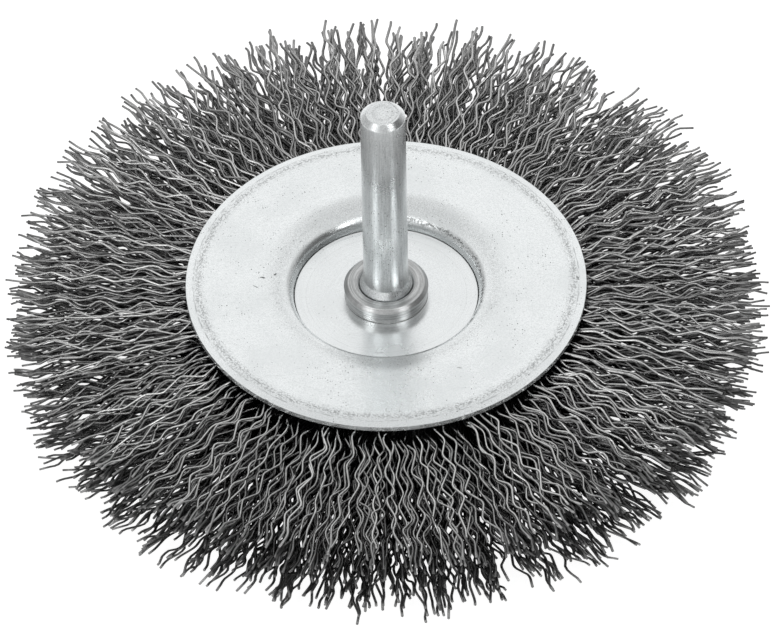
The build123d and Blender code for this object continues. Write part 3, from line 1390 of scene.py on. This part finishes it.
    def build_loop(self, bundle: int) -> bpy.types.Object:
        """Builds the pinched loop of one bundle round the core ring, hidden between the plates.

        Args:
            bundle: The bundle's number, from 0.

        Returns:
            The loop's mesh.
        """
        outline = self.loop_outline()
        corners = len(outline)
        deselect_all()
        bpy.ops.mesh.primitive_circle_add(
            vertices=corners, radius=MM, fill_type="NGON", location=(0, 0, 0)
        )
        obj = bpy.context.object
        obj.name = f"wire_loop_{bundle + 1:02d}"
        for vertex, (radius, height) in zip(obj.data.vertices, outline):
            vertex.co = Vector((radius, -self.loop_slope * radius, height + self.mid_height)) * MM
        edit_all()
        width = 2 * self.loop_slope * MM
        bpy.ops.mesh.extrude_region_move(TRANSFORM_OT_translate={"value": (0, width, 0)})
        bpy.ops.object.mode_set(mode="OBJECT")
        for vertex in obj.data.vertices[corners:]:
            vertex.co.y = self.loop_slope * vertex.co.x
        obj.data.transform(Matrix.Rotation(2 * math.pi * bundle / self.bundles, 4, "Z"))
        edit_all()
        close_outwards()
        return obj

    def build(self, material: bpy.types.Material) -> None:
        """Builds every bundle and puts it on the brush.

        Args:
            material: The wires' steel.
        """
        wires = self.lay_out()
        for bundle in range(self.bundles):
            piece = self.build_wires(wires, bundle)
            loop = self.build_loop(bundle)
            make_active(piece)
            loop.select_set(True)
            bpy.ops.object.join()
            place_piece(piece, Slot.WIRE, material, f"wire_bundle_{bundle + 1:02d}")


# The studio


@dataclass(frozen=True)
class SoftLamp:
    """A soft lamp: its turn and rise in degrees, its size in metres and its power in watts."""

    name: str
    turn: float
    rise: float
    width: float
    height: float
    power: float

    def hang(self, distance: float) -> None:
        """Hangs the lamp, facing the brush.

        Args:
            distance: How far it hangs from the brush, in metres.
        """
        turn, rise = math.radians(self.turn), math.radians(self.rise)
        away = Vector((
            math.sin(turn) * math.cos(rise), -math.cos(turn) * math.cos(rise), math.sin(rise),
        ))
        bpy.ops.object.light_add(type="AREA", location=away * distance)
        lamp = bpy.context.object
        lamp.name = self.name
        lamp.data.shape = "RECTANGLE"
        lamp.data.size, lamp.data.size_y = self.width, self.height
        lamp.data.energy = self.power
        lamp.rotation_euler = (-away).to_track_quat("-Z", "Y").to_euler()


@dataclass
class Studio:
    """The pale floor, the soft light and the camera at the photograph's angle.

    The sensor, the targets and the floor's clear ring are in millimetres, the distances, the clip
    and the floor's size in metres. A band is the stretch of a direction's x, y or z over which the
    surround changes.
    """

    elevation: float = 45.76
    roll: float = 1.15
    distance: float = 2.0
    sensor_width: float = 36.0
    clip: Range = (0.1, 20.0)
    pixels_per_mm: float = 7.488
    target_height: float = 14.22
    target_right: float = -0.013
    target_up: float = -4.331
    floor_size: float = 6.0
    floor_grey: Colour = (0.3, 0.3, 0.3)
    floor_roughness: float = 0.9
    floor_gloss: float = 0.1
    floor_white: float = 0.93
    floor_clear: Range = (34.0, 60.0)
    front_band: Range = (-0.1, -0.5)
    front_level: float = 0.58
    horizon_band: Range = (0.33, 0.62)
    top_band: Range = (0.74, 0.96)
    top_level: float = 0.75
    side_band: Range = (0.45, 0.75)
    side_level: float = 0.56
    corner_turn: float = -0.5
    corner_band: Range = (0.5, 0.85)
    corner_level: float = 0.15
    mirrored_band: Range = (0.86, 1.0)
    lamp_distance: float = 1.5
    lamps: tuple[SoftLamp, ...] = (
        SoftLamp("left lamp", turn=-49.0, rise=45.0, width=0.32, height=0.7, power=2.4),
        SoftLamp("right lamp", turn=47.0, rise=45.0, width=0.28, height=0.7, power=2.4),
        SoftLamp("top lamp", turn=0.0, rise=75.0, width=0.8, height=0.22, power=1.5),
    )

    def build_floor(self) -> None:
        """Lays a wide floor: grey in its own light, white to the camera and in far reflections."""
        deselect_all()
        bpy.ops.mesh.primitive_plane_add(size=self.floor_size, location=(0, 0, 0))
        floor = bpy.context.object
        floor.name = "floor"
        material, wiring, shader = new_material("pale floor")
        shader["Roughness"].default_value = self.floor_roughness
        shader["Specular IOR Level"].default_value = self.floor_gloss
        shader["Base Color"].default_value = rgba(self.floor_grey)
        away = wiring.vectors("LENGTH", {0: wiring.millimetres()})["Value"]
        seen = wiring.backdrop_share(wiring.remap(away, *self.floor_clear))
        shader["Emission Color"].default_value = rgba(WHITE)
        wiring.join(wiring.times(seen, self.floor_white), shader["Emission Strength"])
        floor.data.materials.append(material)

    def build_world(self) -> None:
        """Gives a soft surround: white behind the brush, dimmer above, beside and in front."""
        world = bpy.data.worlds.new("studio surround")
        bpy.context.scene.world = world
        world.use_nodes = True
        wiring = Wiring(world.node_tree)
        background = world.node_tree.nodes["Background"].inputs
        axes = wiring.parts(wiring.add("ShaderNodeTexCoord").outputs["Generated"])
        front = wiring.remap(axes[1], *self.front_band, 1.0, self.front_level)
        horizon = wiring.remap(axes[2], *self.horizon_band, 1.0, 0.0)
        front = wiring.maths("MAXIMUM", front, horizon)
        above = wiring.remap(axes[2], *self.top_band, 1.0, self.top_level)
        sideways = wiring.maths("ABSOLUTE", axes[0])
        beside = wiring.remap(sideways, *self.side_band, 1.0, self.side_level)
        corner = wiring.maths("MULTIPLY_ADD", axes[1], self.corner_turn, axes[0])
        corner = wiring.remap(corner, *self.corner_band, 1.0, self.corner_level)
        beside = wiring.maths("MINIMUM", beside, corner)
        level = wiring.times(wiring.times(front, above), beside)
        seen = wiring.backdrop_share(wiring.remap(axes[1], *self.mirrored_band))
        level = wiring.maths("MAXIMUM", level, seen)
        wiring.join(wiring.mix(level, rgba(BLACK), rgba(WHITE)), background["Color"])
        background["Strength"].default_value = 1.0

    def build_lights(self) -> None:
        """Hangs a tall soft lamp on each side in front of the brush, and a wide one above it."""
        for lamp in self.lamps:
            lamp.hang(self.lamp_distance)

    def build_camera(self) -> None:
        """Sets the long lens that sees the brush as the photograph does."""
        angle, roll = math.radians(self.elevation), math.radians(self.roll)
        level_right = Vector((1, 0, 0))
        level_up = Vector((0, math.sin(angle), math.cos(angle)))
        back = Vector((0, -math.cos(angle), math.sin(angle)))
        right = level_right * math.cos(roll) - level_up * math.sin(roll)
        up = level_right * math.sin(roll) + level_up * math.cos(roll)
        aim = Vector((0, 0, self.target_height)) + right * self.target_right + up * self.target_up
        view_width = PHOTO_WIDTH / self.pixels_per_mm * MM
        camera_data = bpy.data.cameras.new("photo camera")
        camera_data.lens = self.sensor_width * self.distance / view_width
        camera_data.clip_start, camera_data.clip_end = self.clip
        camera = bpy.data.objects.new("photo camera", camera_data)
        bpy.context.scene.collection.objects.link(camera)
        turn = Matrix((right, up, back)).transposed().to_4x4()
        camera.matrix_world = Matrix.Translation(aim * MM + back * self.distance) @ turn
        bpy.context.scene.camera = camera
        bpy.context.scene.view_settings.view_transform = "Standard"

    def build(self) -> None:
        """Builds the floor, the surround, the lamps and the camera."""
        self.build_floor()
        self.build_world()
        self.build_lights()
        self.build_camera()


def dress_frame_nodes(material: bpy.types.Material) -> None:
    """Gives the core ring and the spacer, which keep their frame meshes, the plain steel finish.

    Args:
        material: The plain steel.
    """
    for name in ("core_ring", "hub_spacer"):
        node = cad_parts[name]
        node.data.materials.clear()
        node.data.materials.append(material)
        log.info("%s: kept from the frame", name)


def main() -> None:
    """Builds the brush piece by piece, then the studio round it."""
    effects = Effects()
    hub = Hub()
    hub.build_plates(PLATE_ZINC.build(effects))
    hub.build_washers(DISC_ZINC.build(effects))
    hub.build_collar(COLLAR_STEEL.build(effects))
    hub.build_shank(SHANK_STEEL.build(effects))
    dress_frame_nodes(CORE_STEEL.build(effects))
    WireRing().build(WireFinish().build())
    Studio().build()


if __name__ == "__main__":
    logging.basicConfig(level=logging.INFO)
    main()
